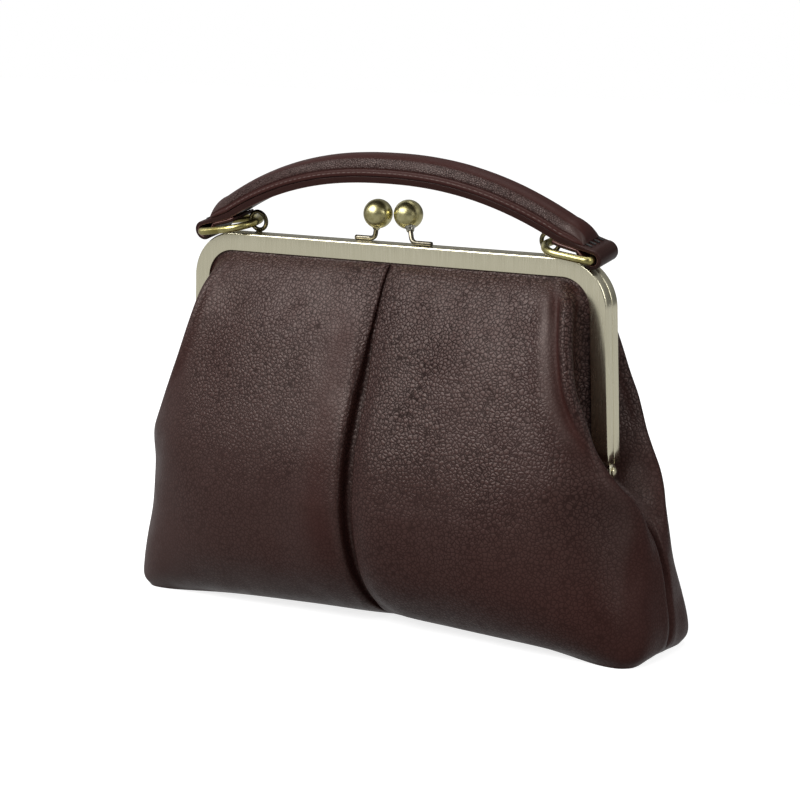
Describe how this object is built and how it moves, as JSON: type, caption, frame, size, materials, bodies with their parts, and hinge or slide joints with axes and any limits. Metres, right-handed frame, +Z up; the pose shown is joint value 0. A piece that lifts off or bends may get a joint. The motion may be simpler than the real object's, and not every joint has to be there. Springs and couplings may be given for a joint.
{
  "type": "kiss lock frame purse",
  "caption": "Leather frame purse with a kiss lock, pleated faces, side gussets that fold in at the hinges and a padded top handle on wire rings.",
  "frame": {"origin": "middle of the purse's bounding box in plan, on the ground it stands on", "axes": "+X along the frame, +Y from the front face to the back, +Z up"},
  "size_m": [0.312, 0.1044, 0.2407],
  "materials": {
    "leather": "pebbled, semi-matte",
    "handle_leather": "pebbled, semi-matte",
    "lining": "woven",
    "padding": "felted",
    "thread": "waxed",
    "frame_cord": "twisted paper",
    "frame_metal": "brushed, brass plated",
    "stem_wire": "antique, polished",
    "lock_ball": "antique, polished",
    "collar": "polished",
    "rivet": "antique, polished",
    "eyelet": "dark antique",
    "ring": "polished"
  },
  "bodies": {
    "bag": {"front_panel_lower": "leather", "rear_panel_lower": "leather", "front_lining_lower": "lining", "rear_lining_lower": "lining"},
    "front_half": {"front_frame": "frame_metal", "front_panel_upper": "leather", "front_lining_upper": "lining", "front_frame_cord": "frame_cord", "front_stem": "stem_wire", "front_ball": "lock_ball", "front_collar": "collar"},
    "rear_half": {"rear_frame": "frame_metal", "rear_panel_upper": "leather", "rear_lining_upper": "lining", "rear_frame_cord": "frame_cord", "rear_stem": "stem_wire", "rear_ball": "lock_ball", "rear_collar": "collar", "hinge_rivet_left": "rivet", "hinge_rivet_right": "rivet", "eyelet_left": "eyelet", "eyelet_right": "eyelet"},
    "left_ring": {"ring_left": "ring"},
    "handle": {"handle_strap": "handle_leather", "handle_core": "padding", "handle_cover": "handle_leather", "handle_tacks": "thread"},
    "right_ring": {"ring_right": "ring"}
  },
  "joints": [
    {"name": "front_open", "type": "hinge", "parent": "bag", "child": "front_half", "pos_m": [0, 0, 0.0892], "axis": [1, 0, 0], "range_deg": [0, 38], "deforming": ["front_panel_upper", "front_lining_upper"]},
    {"name": "rear_open", "type": "hinge", "parent": "bag", "child": "rear_half", "pos_m": [0, 0, 0.0892], "axis": [1, 0, 0], "range_deg": [-38, 0], "deforming": ["rear_panel_upper", "rear_lining_upper"]},
    {"name": "handle_lift", "type": "hinge", "parent": "rear_half", "child": "left_ring", "pos_m": [-0.0887, 0.0026, 0.2003], "axis": [0, 0.9863, 0.165], "range_deg": [0, 22]},
    {"name": "handle_level", "type": "hinge", "parent": "left_ring", "child": "handle", "pos_m": [-0.1175, 0.00071, 0.19583], "axis": [0, 0.9863, 0.165], "range_deg": [-22, 0]},
    {"name": "right_ring_swing", "type": "hinge", "parent": "handle", "child": "right_ring", "pos_m": [0.1175, 0.00071, 0.19583], "axis": [0, 0.9863, 0.165], "range_deg": [-22, 0]}
  ],
  "couplings": [
    {"joint": "rear_open", "follows": "front_open", "ratio": -1},
    {"joint": "handle_level", "follows": "handle_lift", "ratio": -1},
    {"joint": "right_ring_swing", "follows": "handle_lift", "ratio": -1}
  ]
}
